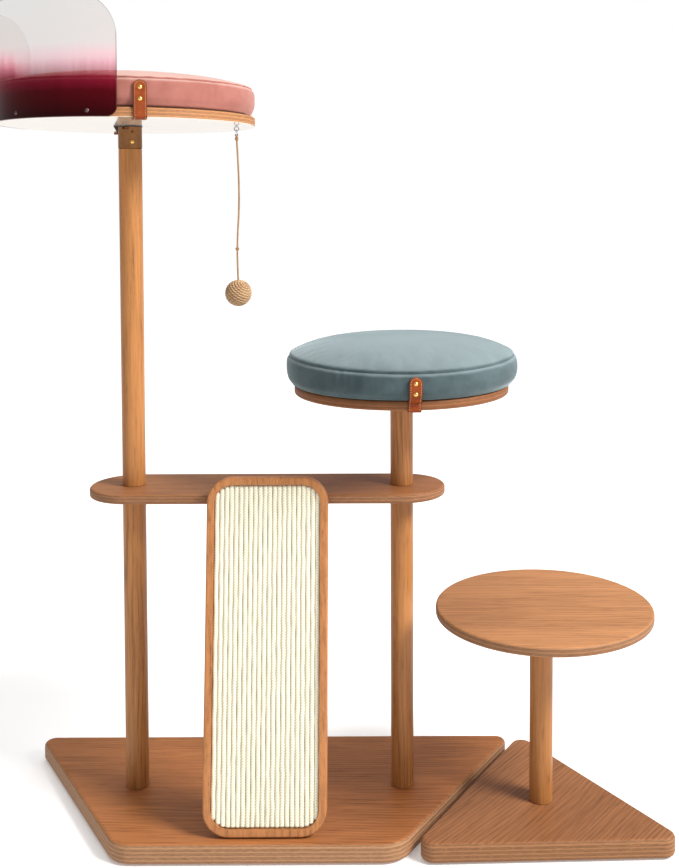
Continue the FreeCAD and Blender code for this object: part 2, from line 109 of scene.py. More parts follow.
def make_studio():
    """White surround, a soft key at the right and one light overhead.

    The surround lights the object at half the strength at which it is seen. The pale floor glows
    faintly, more from one to three and a half metres out, so that it stays white to its far edge.
    """
    scene.view_settings.view_transform = "Standard"
    world = bpy.data.worlds.new("surround")
    world.use_nodes = True
    nodes, links = world.node_tree.nodes, world.node_tree.links
    ray = nodes.new("ShaderNodeLightPath")
    level = nodes.new("ShaderNodeMapRange")
    level.inputs["To Min"].default_value = 0.5
    level.inputs["To Max"].default_value = 1.0
    links.new(ray.outputs["Is Camera Ray"], level.inputs["Value"])
    links.new(level.outputs[0], nodes["Background"].inputs["Strength"])
    nodes["Background"].inputs["Color"].default_value = (1.0, 1.0, 1.0, 1)
    scene.world = world
    area_light("key", (2.6, -1.4, 2.9), (0, 0, 0.6), 1.3, 225, (1.0, 0.97, 0.94))
    area_light("overhead", (-0.2, 0.5, 3.6), (0, 0, 0.7), 2.4, 56, (1.0, 1.0, 1.0))
    mesh = bpy.data.meshes.new("floor")
    half = 30.0
    corners = [(-half, -half, 0), (half, -half, 0), (half, half, 0), (-half, half, 0)]
    mesh.from_pydata(corners, [], [(0, 1, 2, 3)])
    floor = bpy.data.objects.new("floor", mesh)
    scene.collection.objects.link(floor)
    paint = Finish("floor_white")
    x, y, _ = paint.axes()
    far = (x * x + y * y).maths("SQRT").step(1.0, 3.6)
    glow = paint.mix(far, (0.24, 0.24, 0.24, 1), (0.65, 0.65, 0.65, 1))
    paint.surface({"Base Color": (0.82, 0.82, 0.82, 1), "Roughness": 0.9, "Specular IOR Level": 0.1,
                   "Emission Color": glow, "Emission Strength": 1.0})
    mesh.materials.append(paint.material)


# ---- finishes --------------------------------------------------------------------------
def shade(red, green, blue, gain=1.0):
    """Linear colour of an 8-bit shade, times gain."""
    c = np.array([red, green, blue]) / 255
    c = np.where(c <= 0.04045, c / 12.92, ((c + 0.055) / 1.055) ** 2.4) * gain
    return (*(float(v) for v in c), 1.0)


class Number:
    """A socket in a finish's node tree; arithmetic on it adds Math nodes."""

    def __init__(self, finish, socket):
        self.finish, self.socket = finish, socket

    def maths(self, operation, *others):
        values = dict(enumerate((self, *others)))
        return self.finish.node("ShaderNodeMath", {"operation": operation}, values)

    def __add__(self, other):
        return self.maths("ADD", other)

    def __sub__(self, other):
        return self.maths("SUBTRACT", other)

    def __rsub__(self, other):
        return self.finish.node("ShaderNodeMath", {"operation": "SUBTRACT"}, {0: other, 1: self})

    def __mul__(self, other):
        return self.maths("MULTIPLY", other)

    def __truediv__(self, other):
        return self.maths("DIVIDE", other)

    __radd__ = __add__
    __rmul__ = __mul__

    def step(self, low, high):
        """0 below low, 1 above high and smooth between; low may be the larger."""
        return self.finish.node("ShaderNodeMapRange", {"interpolation_type": "SMOOTHSTEP"},
                                {"Value": self, "From Min": low, "From Max": high})


class Finish:
    """One material; its nodes are added by expressions and by node()."""

    def __init__(self, name):
        self.material = bpy.data.materials.new(name)
        self.material.use_nodes = True
        self.tree = self.material.node_tree
        self.tree.nodes.clear()
        self.coordinates = {}

    def node(self, kind, settings, values, out=0):
        """Adds a node: its settings first, then each socket's value or link."""
        made = self.tree.nodes.new(kind)
        for key, value in settings.items():
            if key == "stops":
                ramp, value = made.color_ramp, sorted(value)
                for place, colour in value[1:-1]:
                    ramp.elements.new(place)
                for element, (place, colour) in zip(ramp.elements, value):
                    element.position = place
                    element.color = colour
            else:
                setattr(made, key, value)
        for key, value in values.items():
            if isinstance(value, Number):
                self.tree.links.new(value.socket, made.inputs[key])
            else:
                made.inputs[key].default_value = value
        return Number(self, made.outputs[out]) if len(made.outputs) else None

    def place(self, kind="Object"):
        """Position from the object's own coordinates, or its UV map."""
        if kind not in self.coordinates:
            self.coordinates[kind] = self.node("ShaderNodeTexCoord", {}, {}, kind)
        return self.coordinates[kind]

    def axes(self, vector=None):
        """The three parts of a position."""
        vector = vector or self.place()
        split = self.node("ShaderNodeSeparateXYZ", {}, {0: vector})
        return [Number(self, split.socket.node.outputs[i]) for i in range(3)]

    def point(self, x, y, z):
        return self.node("ShaderNodeCombineXYZ", {}, {0: x, 1: y, 2: z})

    def scaled(self, vector, factors):
        return self.node("ShaderNodeVectorMath", {"operation": "MULTIPLY"}, {0: vector, 1: factors})

    def noise(self, vector, scale, detail=3.0, roughness=0.55, distortion=0.0):
        return self.node("ShaderNodeTexNoise", {}, {"Vector": vector, "Scale": scale, "Detail": detail,
                                                    "Roughness": roughness, "Distortion": distortion})

    def mix(self, factor, first, second, kind="MIX"):
        """Colour between first and second."""
        return self.node("ShaderNodeMix", {"data_type": "RGBA", "blend_type": kind},
                         {0: factor, 6: first, 7: second}, 2)

    def bump(self, height, distance, strength=1.0):
        values = {"Strength": strength, "Distance": distance, "Height": height}
        return self.node("ShaderNodeBump", {}, values)

    def surface(self, values):
        """The main shader and the output."""
        shader = self.node("ShaderNodeBsdfPrincipled", {}, values)
        self.node("ShaderNodeOutputMaterial", {}, {"Surface": shader})
        return self


def wood(name, tone, along="x", turn=0.0, plies=(), figure=820.0, gloss=0.45, edge=(0.36, 0.19, 0.095)):
    """Veneer or solid wood of a linear tone: fine streaks, narrow dark figure lines and short pores.

    plies holds (lowest, highest, count, veneer) levels of a layered board: inside its two outer
    veneers the colour follows the height, as a cut through the layers does, with thin glue lines.
    """
    def tint(colour, gain, warm=0.0):
        """Linear colour times gain, its green and blue lowered by warm and twice warm."""
        return tuple(min(1.0, c * gain * (1 - warm * i)) for i, c in enumerate(colour)) + (1,)

    f = Finish(name)
    where = f.place()
    if turn:
        where = f.node("ShaderNodeMapping", {}, {"Vector": where, "Rotation": (0, 0, turn)})
    x, y, z = f.axes(where)
    run, side, deep = {"x": (x, y, z), "y": (y, x, z), "z": (z, x, y)}[along]

    def grain(lengthwise, crosswise, detail=2.0, roughness=0.5):
        spot = f.point(run * lengthwise, side * crosswise, deep * crosswise)
        return f.noise(spot, 1.0, detail, roughness)

    drift, wander = grain(1.3, 5.0), grain(7.0, 30.0, 3.0)
    streak, hair = grain(8.0, 210.0, 4.0, 0.6), grain(14.0, 520.0, 3.0, 0.6)
    wave = ((side + deep * 0.7) * figure + drift * 70.0 + wander * 1.6).maths("SINE") * 0.5 + 0.5
    line = wave.step(0.6, 0.95) * hair.step(0.3, 0.55) * grain(3.0, 14.0).step(0.38, 0.58)
    pore = grain(30.0, 900.0).step(0.56, 0.66) * streak.step(0.38, 0.6)
    shift = (streak * 0.5 + hair * 0.35 + drift * 0.3 + wander * 0.2 - 0.175).step(0.2, 0.8)
    colour = f.node("ShaderNodeValToRGB", {"stops": [
        (0.0, tint(tone, 1.28)), (0.5, (*tone, 1)), (1.0, tint(tone, 0.68, 0.07))]}, {0: shift})
    colour = f.mix((line * 0.46 + pore * 0.55).maths("MINIMUM", 0.7), colour, tint(tone, 0.34, 0.1))
    height = streak * 0.5 - pore * 0.6 - line * 0.2
    rough = gloss + streak * 0.12
    for low, high, count, veneer in plies:
        z = f.axes()[2]
        level = z + (drift - 0.5) * 0.0012
        share = (level - low) * (count / (high - low))
        odd = (share * 0.5).maths("FRACT").step(0.47, 0.53)
        speck = f.noise(f.scaled(f.place(), (90.0, 90.0, 900.0)), 1.0, 4.0, 0.7)
        glue = (1 - share.maths("FRACT").maths("PINGPONG", 0.5).step(0.03, 0.16)) * speck.step(0.3, 0.55)
        inside = level.step(low + veneer * 0.7, low + veneer)
        inside = inside * level.step(high - veneer * 0.7, high - veneer)
        inside = inside * z.step(high + 0.002, high + 0.0019) * z.step(low - 0.002, low - 0.0019)
        light = f.mix(speck.step(0.25, 0.75), tint(edge, 1.2), tint(edge, 0.92))
        cross = f.mix(speck.step(0.3, 0.7), tint(edge, 0.95), tint(edge, 0.6, 0.04))
        layer = f.mix(glue * 0.55, f.mix(odd, light, cross), tint(edge, 0.28, 0.1))
        colour = f.mix(inside, colour, layer)
        height = height - inside * glue * 0.9
        rough = rough + inside * 0.12
    return f.surface({"Base Color": colour, "Roughness": rough, "Specular IOR Level": 0.25,
                      "Coat Weight": 0.03, "Coat Roughness": 0.3,
                      "Normal": f.bump(height, 0.0002, 0.5)}).material


def velvet(name, deep, bright, top, sheen):
    """Short pile: clouds of brushed nap over a fine speckle; cloth that faces up is painted lighter, a
    painted highlight of the light from above.
    """
    f = Finish(name)
    cloud = f.noise(f.scaled(f.place(), (9.0, 9.0, 20.0)), 1.0, 3.0, 0.55, 0.6)
    brushed = f.noise(f.scaled(f.place(), (60.0, 22.0, 40.0)), 1.0, 3.0, 0.6)
    pile = f.noise(f.place(), 1900.0, 2.0, 0.6)
    facing = f.axes(f.node("ShaderNodeNewGeometry", {}, {}, "Normal"))[2]
    tone = (cloud * 0.75 + brushed * 0.4 + pile * 0.25 - 0.2).step(0.05, 0.95)
    # painted highlight: the more the cloth faces up, the more its colour goes to the lighter top colour
    level = (facing + (cloud - 0.5) * 0.35).step(0.25, 1.0)
    colour = f.mix(level * (0.75 + tone * 0.25), f.mix(tone, deep, bright), top)
    return f.surface({"Base Color": colour, "Roughness": 0.9, "Specular IOR Level": 0.1,
                      "Sheen Weight": 0.55, "Sheen Roughness": 0.4, "Sheen Tint": sheen,
                      "Normal": f.bump(pile + brushed * 0.8, 0.0004, 0.45)}).material


def leather(name):
    """Saddle leather: small cells of grain, darker worn edges given by the UV map's u."""
    f = Finish(name)
    u = f.axes(f.place("UV"))[0]
    cells = f.node("ShaderNodeTexVoronoi", {"feature": "DISTANCE_TO_EDGE"},
                   {"Vector": f.place(), "Scale": 1100.0})
    cloud = f.noise(f.place(), 90.0, 3.0, 0.6)
    fine = f.noise(f.place(), 1500.0, 2.0)
    edge = (u - 0.5).maths("ABSOLUTE").step(0.40, 0.49)
    tone = (cloud * 0.9 + fine * 0.3 - 0.15).step(0.1, 0.9)
    colour = f.mix(tone, shade(112, 42, 6, 0.8), shade(168, 76, 14, 0.8))
    colour = f.mix(edge * 0.6, colour, shade(78, 28, 8, 0.7))
    return f.surface({"Base Color": colour, "Roughness": 0.5 + cloud * 0.18, "Specular IOR Level": 0.22,
                      "Normal": f.bump(cells.step(0.0, 0.25) + fine * 0.4, 0.00012, 0.5)}).material


def metal(name, colour, rough, brushed=(1.0, 1.0, 1.0), grime=None):
    """Metal with fine drawn lines and a little tarnish."""
    f = Finish(name)
    lines = f.noise(f.scaled(f.place(), brushed), 420.0, 3.0, 0.6)
    blot = f.noise(f.place(), 130.0, 3.0, 0.6)
    tint = f.mix(blot.step(0.45, 0.8) * 0.5, colour, grime or tuple(0.55 * c for c in colour[:3]) + (1,))
    return f.surface({"Base Color": tint, "Metallic": 1.0, "Roughness": rough + lines * 0.16,
                      "Normal": f.bump(lines, 0.00005, 0.35)}).material


def painted(name, colour, rough):
    """Satin paint with a faint orange peel."""
    f = Finish(name)
    peel = f.noise(f.place(), 700.0, 2.0)
    tint = f.mix(f.noise(f.place(), 60.0, 3.0), colour, tuple(1.25 * c for c in colour[:3]) + (1,))
    return f.surface({"Base Color": tint, "Roughness": rough + peel * 0.1,
                      "Normal": f.bump(peel, 0.00008, 0.3)}).material


def fibres(name, deep, pale, twist):
    """Twisted fibre: slanting strands in the UV map, stray light and dark hairs."""
    f = Finish(name)
    u, v, _ = f.axes(f.place("UV"))
    strand = ((v * twist + u * 3.0) * TAU).maths("SINE") * 0.5 + 0.5
    hair = f.noise(f.point(u * 16.0 + v * twist * 4.0, v * twist * 0.9, 0.0), 1.0, 4.0, 0.7)
    cloud = f.noise(f.place(), 55.0, 3.0)
    fuzz = f.noise(f.place(), 1600.0, 3.0, 0.7)
    tone = (hair * 0.8 + strand * 0.35 + cloud * 0.4 + fuzz * 0.3 - 0.5).step(0.0, 0.9)
    return f.surface({"Base Color": f.mix(tone, deep, pale), "Roughness": 0.85, "Specular IOR Level": 0.2,
                      "Sheen Weight": 0.2, "Sheen Roughness": 0.5,
                      "Normal": f.bump(hair + strand * 0.6 + fuzz * 0.5, 0.0003, 0.6)}).material


def rib_cord(name):
    """Off-white cord of the mat: fine zigzag plait, with painted shade, darker and warmer, down each rib's
    flanks towards the hollows, given by the UV map's u.
    """
    f = Finish(name)
    u, v, _ = f.axes(f.place("UV"))
    zigzag = ((u - 0.5).maths("ABSOLUTE") * 2.2 + v).maths("FRACT").maths("PINGPONG", 0.5)
    hair = f.noise(f.scaled(f.place(), (1.0, 1.0, 0.25)), 900.0, 3.0, 0.65)
    cloud = f.noise(f.place(), 30.0, 3.0)
    # painted shade: the flanks, where u nears its edges, darken towards the hollows between ribs
    flank_shade = (u - 0.5).maths("ABSOLUTE").step(0.26, 0.47)
    tone = (hair * 0.5 + zigzag * 1.0 + cloud * 0.35 - 0.25).step(0.0, 0.8)
    colour = f.mix(tone, shade(226, 218, 190, 0.8), shade(255, 250, 228, 0.86))
    # mix in the painted shade of the flanks
    colour = f.mix(flank_shade * 0.6, colour, shade(206, 190, 152, 0.8))
    return f.surface({"Base Color": colour, "Roughness": 0.86, "Specular IOR Level": 0.2,
                      "Sheen Weight": 0.25, "Sheen Roughness": 0.5,
                      "Normal": f.bump(hair * 0.5 + zigzag, 0.0004, 0.6)}).material


def felt(name, colour):
    """Pressed felt: matted fuzz."""
    f = Finish(name)
    fuzz = f.noise(f.place(), 900.0, 4.0, 0.7)
    tint = f.mix(fuzz, colour, tuple(1.8 * c for c in colour[:3]) + (1,))
    return f.surface({"Base Color": tint, "Roughness": 0.95, "Specular IOR Level": 0.1,
                      "Normal": f.bump(fuzz, 0.0004, 0.6)}).material


def laminate(name):
    """Glossy cream sheet with a faint waviness."""
    f = Finish(name)
    wave = f.noise(f.place(), 14.0, 2.0)
    fine = f.noise(f.place(), 500.0, 2.0)
    colour = f.mix(wave, shade(206, 184, 160, 0.9), shade(216, 196, 174, 0.9))
    return f.surface({"Base Color": colour, "Roughness": 0.13 + fine * 0.05, "Specular IOR Level": 0.5,
                      "Coat Weight": 0.4, "Coat Roughness": 0.06,
                      "Normal": f.bump(wave, 0.0004, 0.15)}).material


def acrylic(name, low, high):
    """Clear sheet dyed wine red from its lower edge: the dye thins out with height above low.

    The UV map holds the distance to the outline in millimetres and the share of the way round.
    Near its left end, where the sheet turns edge-on to the front, the tint is painted deeper and higher, a
    painted shade for the longer way through the sheet, and upright painted reflection streaks move the
    tint's edge, most there; the cut edge reads as a thin dusky line.
    """
    f = Finish(name)
    x, y, z = f.axes()
    inset, way, _ = f.axes(f.place("UV"))
    # painted reflections: upright streaks that move the tint's edge, strongest where the sheet turns edge-on
    streaks = f.noise(f.point(x * 150.0, y * 150.0, z * 0.6), 1.0, 3.0, 0.6)
    # painted shade: 1 near the left end, where the sheet turns edge-on to the front; there the tint reaches
    # deeper and higher
    turned = (way - 0.17).maths("ABSOLUTE").step(0.2, 0.02)
    share = (z + streaks * (0.012 + turned * 0.05) - 0.008 - turned * 0.05 - low) / (high - low)
    colour = f.node("ShaderNodeValToRGB", {"stops": [
        (0.0, shade(36, 0, 2)), (0.20, shade(70, 2, 10)), (0.33, shade(132, 20, 46)),
        (0.42, shade(196, 84, 112)), (0.50, shade(206, 110, 130)), (0.60, shade(150, 118, 104)),
        (1.0, shade(126, 108, 86))]},
        {0: share})
    cover = f.node("ShaderNodeValToRGB", {"stops": [
        (0.0, (0.985,) * 3 + (1,)), (0.22, (0.92,) * 3 + (1,)), (0.36, (0.5,) * 3 + (1,)),
        (0.46, (0.27,) * 3 + (1,)), (0.58, (0.17,) * 3 + (1,)), (1.0, (0.15,) * 3 + (1,))]}, {0: share})
    thin = way.step(0.14, 0.34)
    cover = cover * (1 - (1 - thin) * share.step(0.35, 0.6) * 0.6)
    cut = inset.step(1.5, 0.6) * way.step(0.16, 0.4)
    colour = f.mix(cut * 0.7, colour, shade(92, 66, 58))
    cover = (cover + cut * 0.3).maths("MINIMUM", 1.0)
    return f.surface({"Base Color": colour, "Roughness": 0.06 + streaks * 0.02, "Alpha": cover,
                      "Specular IOR Level": 0.1}).material


# ---- surfaces --------------------------------------------------------------------------
def grid_faces(rows, columns, wrap_rows=False, wrap_columns=False):
    """Four-sided faces between neighbours of a grid that is numbered row by row."""
    r = np.arange(rows if wrap_rows else rows - 1)[:, None]
    c = np.arange(columns if wrap_columns else columns - 1)[None, :]
    up, over = (r + 1) % rows, (c + 1) % columns
    corners = [r * columns + c, r * columns + over, up * columns + over, up * columns + c]
    return np.stack(np.broadcast_arrays(*corners), -1).reshape(-1, 4)


def new_mesh(name, points, faces, uv=None, weld=0.0):
    """Mesh of the points and faces; welding closes seams and poles and turns every face outwards."""
    mesh = bpy.data.meshes.new(name)
    mesh.from_pydata(np.asarray(points, float).reshape(-1, 3).tolist(), [], np.asarray(faces).tolist())
    if uv is not None:
        layer = mesh.uv_layers.new(name="UVMap")
        at = np.empty(len(mesh.loops), np.int32)
        mesh.loops.foreach_get("vertex_index", at)
        layer.data.foreach_set("uv", np.asarray(uv, np.float32).reshape(-1, 2)[at].ravel())
    if weld:
        work = bmesh.new()
        work.from_mesh(mesh)
        bmesh.ops.remove_doubles(work, verts=work.verts, dist=weld)
        bmesh.ops.recalc_face_normals(work, faces=work.faces)
        work.to_mesh(mesh)
        work.free()
    mesh.shade_smooth()
    return mesh


def piece(mesh, body, finish, nodes=()):
    """Object for a mesh: it rides on body, takes its finish, and stands for the given nodes."""
    made = bpy.data.objects.new(mesh.name, mesh)
    scene.collection.objects.link(made)
    mesh.materials.clear()
    mesh.materials.append(finish)
    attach(made, body)
    if nodes:
        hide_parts(*nodes)
    return made


def points_of(mesh):
    flat = np.empty(len(mesh.vertices) * 3, np.float32)
    mesh.vertices.foreach_get("co", flat)
    return flat.reshape(-1, 3).astype(float)


def set_points(mesh, points):
    mesh.vertices.foreach_set("co", np.asarray(points, np.float32).ravel())
    mesh.update()


def lathe(profile, steps, x, y):
    """Points of a profile (radius, height) turned about the upright axis at (x, y)."""
    profile = np.asarray(profile, float)
    a = np.arange(steps) * TAU / steps
    r, z = profile[:, 0][:, None], profile[:, 1][:, None]
    return np.stack([x + r * np.cos(a), y + r * np.sin(a), z + 0 * a], -1)


def turned_mesh(name, profile, steps, x, y):
    """Closed solid of a profile that starts and ends on the axis."""
    points = lathe(profile, steps, x, y)
    return new_mesh(name, points, grid_faces(len(profile), steps, wrap_columns=True), weld=1e-7)


def across_path(path, up, closed=False):
    """Two unit vectors across a path at each of its points: up made square to it, and the third."""
    ahead = (np.roll(path, -1, 0) - np.roll(path, 1, 0)) if closed else np.gradient(path, axis=0)
    ahead /= np.linalg.norm(ahead, axis=1, keepdims=True)
    first = up - (up * ahead).sum(1, keepdims=True) * ahead
    first /= np.linalg.norm(first, axis=1, keepdims=True)
    return first, np.cross(ahead, first)


def sweep(path, radius, up, sides, closed=False):
    """Rings round a path: path + radius (cos a first + sin a second), with its UVs (a, length)."""
    first, second = across_path(path, np.broadcast_to(np.asarray(up, float), path.shape), closed)
    a = np.linspace(0, TAU, sides + 1)
    radius = np.broadcast_to(np.asarray(radius, float), (len(path), sides + 1) if np.ndim(radius) == 2
                             else (len(path),))
    if radius.ndim == 1:
        radius = radius[:, None]
    points = (path[:, None] + (radius * np.cos(a))[..., None] * first[:, None]
              + (radius * np.sin(a))[..., None] * second[:, None])
    run = np.concatenate([[0], np.cumsum(np.linalg.norm(np.diff(path, axis=0), axis=1))])
    uv = np.stack(np.broadcast_arrays(a[None] / TAU, run[:, None]), -1)
    return points, uv


def tube_mesh(name, parts, closed=False):
    """One mesh of several sweeps, each (points, uv); open ends are shut by their own last rings."""
    points, uv, faces, start = [], [], [], 0
    for p, t in parts:
        rows, columns = p.shape[:2]
        faces.append(grid_faces(rows, columns, wrap_rows=closed) + start)
        points.append(p.reshape(-1, 3))
        uv.append(t.reshape(-1, 2))
        start += rows * columns
    return new_mesh(name, np.concatenate(points), np.concatenate(faces), np.concatenate(uv), weld=1e-6)


def ended(count, radius, taper=3):
    """Radius along a tube, rounded down to nothing over the first and last rings."""
    out = np.full(count, radius, float)
    ease = np.sqrt(1 - (1 - np.arange(taper) / taper) ** 2)
    out[:taper] *= ease
    out[-taper:] *= ease[::-1]
    return out


# ---- toy -------------------------------------------------------------------------------
CORD_ROUTE = [(-0.15415, 0.011, 1.12885), (-0.15215, 0.0114, 1.0885), (-0.15075, 0.012, 1.0465),
              (-0.15115, 0.0122, 1.0055), (-0.15375, 0.0114, 0.966), (-0.15475, 0.0105, 0.9265),
              (-0.15315, 0.011, 0.887)]
KNOT_ABOVE = 0.073


def cord_line(count):
    """Evenly spaced points on the route's smooth curve."""
    curve = bpy.data.curves.new("route", "CURVE")
    curve.dimensions = "3D"
    spline = curve.splines.new("NURBS")
    spline.points.add(len(CORD_ROUTE) - 1)
    for point, at in zip(spline.points, CORD_ROUTE):
        point.co = (*at, 1)
    spline.order_u = 3
    spline.use_endpoint_u = True
    spline.resolution_u = 40
    holder = bpy.data.objects.new("route", curve)
    scene.collection.objects.link(holder)
    bpy.context.view_layer.update()
    line = points_of(bpy.data.meshes.new_from_object(holder))
    bpy.data.objects.remove(holder)
    run = np.concatenate([[0], np.cumsum(np.linalg.norm(np.diff(line, axis=0), axis=1))])
    at = np.linspace(0, run[-1], count)
    return np.stack([np.interp(at, run, line[:, i]) for i in range(3)], -1)


def make_toy():
    """Twine of three laid strands, its knot and hitch, and the ball of wound rope."""
    line = cord_line(760)
    first, second = across_path(line, np.broadcast_to((1.0, 0, 0), line.shape))
    run = np.linspace(0, 1, len(line))[:, None]
    strands = []
    for k in range(3):
        turn = TAU * (run * 42 + k / 3)
        off = 0.00078 * (np.cos(turn) * first + np.sin(turn) * second)
        strands.append(sweep(line + off, ended(len(line), 0.00084), (1.0, 0, 0), 8))
    cord = piece(tube_mesh("toy_twine", strands), "toy", TWINE, ["toy_cord"])

    a = np.linspace(0, TAU, 97)[:-1]
    knot_z = centre("toy_ball").z + KNOT_ABOVE
    at = line[np.abs(line[:, 2] - knot_z).argmin()]
    trefoil = np.stack([np.sin(a) + 2 * np.sin(2 * a), -1.3 * np.sin(3 * a),
                        np.cos(a) - 2 * np.cos(2 * a)], -1)
    loops = [sweep(np.concatenate([trefoil, trefoil[:1]]) * 0.00085 + at, 0.00115, (0.1, 1.0, 0.2), 10)]
    knot = piece(tube_mesh("toy_knot", loops), "toy", TWINE)

    # the twine's eye round the steel ring, and three turns that bind it
    hitch = line[0] + np.stack([0.0019 * np.sin(a), 0 * a, 0.0019 * np.cos(a) + 0.0009], -1)
    b = np.linspace(0, 3.2 * TAU, 120)
    bind = np.stack([line[0][0] + 0.0021 * np.cos(b), line[0][1] + 0.0021 * np.sin(b),
                     line[0][2] - 0.0026 - 0.0052 * b / b[-1]], -1)
    binding = [sweep(np.concatenate([hitch, hitch[:1]]), 0.0009, (0, 1.0, 0), 8),
               sweep(bind, ended(len(bind), 0.00085), (0, 0, 1.0), 8)]
    eye = piece(tube_mesh("toy_binding", binding), "toy", TWINE)

    # rope wound round the ball from pole to pole about a slanting axis
    low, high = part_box("toy_ball")
    middle, size = (low + high) / 2, (high.x - low.x) / 2
    turns, rope_r = 15, 0.00205
    t = np.linspace(0.035, 0.965, 2300)
    polar, round_it = math.pi * t, TAU * turns * t
    out = np.stack([np.sin(polar) * np.cos(round_it), np.sin(polar) * np.sin(round_it), np.cos(polar)], -1)
    tilt = np.array(Matrix.Rotation(0.62, 3, "Y") @ Matrix.Rotation(0.35, 3, "X"))
    out = out @ tilt.T
    path = np.array(middle) + out * (size - rope_r)
    s = np.concatenate([[0], np.cumsum(np.linalg.norm(np.diff(path, axis=0), axis=1))])
    sides = 14
    a = np.linspace(0, TAU, sides + 1)[None]
    lobes = rope_r * (1 + 0.12 * np.cos(3 * a + TAU * s[:, None] / 0.0052))
    lobes = lobes * ended(len(s), 1.0, 4)[:, None]
    points, uv = sweep(path, lobes, out, sides)
    uv[..., 1] *= 190
    half_turn = np.linspace(0, math.pi, 25)
    half_circle = np.stack([np.sin(half_turn), -np.cos(half_turn)], -1)
    core = lathe(half_circle * (size - rope_r * 1.15), 48, middle.x, middle.y)
    core[..., 2] += middle.z
    core = np.concatenate([core, core[:, :1]], 1)
    parts = [(points, uv), (core, np.zeros(core.shape[:2] + (2,)))]
    ball = piece(tube_mesh("toy_rope_ball", parts), "toy", SISAL, ["toy_ball"])


# ---- cushions --------------------------------------------------------------------------
def band_curve(base, bulge, seam, count):
    """Side band's section: the cubic curve from base to seam whose middle reaches the bulge's radius."""
    t = 0.5 - 0.5 * np.cos(np.linspace(0, math.pi, count))[:, None]
    base, seam = np.array(base), np.array(seam)
    knee = (8 * bulge - base[0] - seam[0]) / 6
    tall = seam[1] - base[1]
    first, second = np.array((knee, base[1] + 0.08 * tall)), np.array((knee, seam[1] - 0.25 * tall))
    ends = (1 - t) ** 3 * base + t ** 3 * seam
    return ends + 3 * t * (1 - t) ** 2 * first + 3 * t ** 2 * (1 - t) * second


def drum(base, bulge, seam, crown, rings=(9, 18, 26)):
    """Profile of a box cushion from its base and seam, each (radius, height), and its fullest radius.

    Flat bottom, the side band's curve, and a top panel whose
    height = seam + rise (1 - (r / R)^3.6)^0.7. Also gives the row numbers of the two seams.
    """
    low = np.stack([np.linspace(0, base[0], rings[0]), np.full(rings[0], base[1])], -1)
    side = band_curve(base, bulge, seam, rings[1])[1:]
    share = np.cos(np.linspace(0, math.pi / 2, rings[2]))[1:]
    share[-1] = 0
    top = np.stack([seam[0] * share, seam[1] + (crown - seam[1]) * (1 - share ** 3.6) ** 0.7], -1)
    return np.concatenate([low, side, top]), rings[0] - 1, rings[0] + rings[1] - 2


def blown(name, profile, x, y, pinned, cap):
    """Cloth skin of the profile, remeshed and blown up by pressure with its seams held."""
    start = bpy.data.objects.new(name, turned_mesh(name, profile, 96, x, y))
    scene.collection.objects.link(start)
    remesh = start.modifiers.new("even", "REMESH")
    remesh.mode = "VOXEL"
    remesh.voxel_size = 0.006
    bpy.context.view_layer.update()
    graph = bpy.context.evaluated_depsgraph_get()
    start.data = bpy.data.meshes.new_from_object(start.evaluated_get(graph))
    start.modifiers.clear()
    rest = points_of(start.data)
    radius = np.hypot(rest[:, 0] - x, rest[:, 1] - y)
    near = np.min([np.hypot(radius - r, rest[:, 2] - z) for r, z in pinned], axis=0)
    held = np.nonzero((near < 0.006) | (rest[:, 2] < pinned[0][1] + 0.002))[0]
    group = start.vertex_groups.new(name="seams")
    group.add(held.tolist(), 1.0, "REPLACE")
    cloth = start.modifiers.new("cloth", "CLOTH")
    cloth.settings.use_pressure = True
    cloth.settings.uniform_pressure_force = 4.0
    cloth.settings.effector_weights.gravity = 0.0
    cloth.settings.vertex_group_mass = "seams"
    cloth.settings.tension_stiffness = 12
    cloth.settings.bending_stiffness = 0.6
    cloth.collision_settings.use_collision = False
    cloth.point_cache.frame_start = 1
    cloth.point_cache.frame_end = 20
    for number in range(1, 21):
        scene.frame_set(number)
    graph = bpy.context.evaluated_depsgraph_get()
    moved = points_of(start.evaluated_get(graph).data)
    start.modifiers.clear()
    scene.frame_set(1)
    step = moved - rest
    far = np.linalg.norm(step, axis=1, keepdims=True)
    set_points(start.data, rest + step * np.minimum(1, cap / np.maximum(far, 1e-9)))
    return start


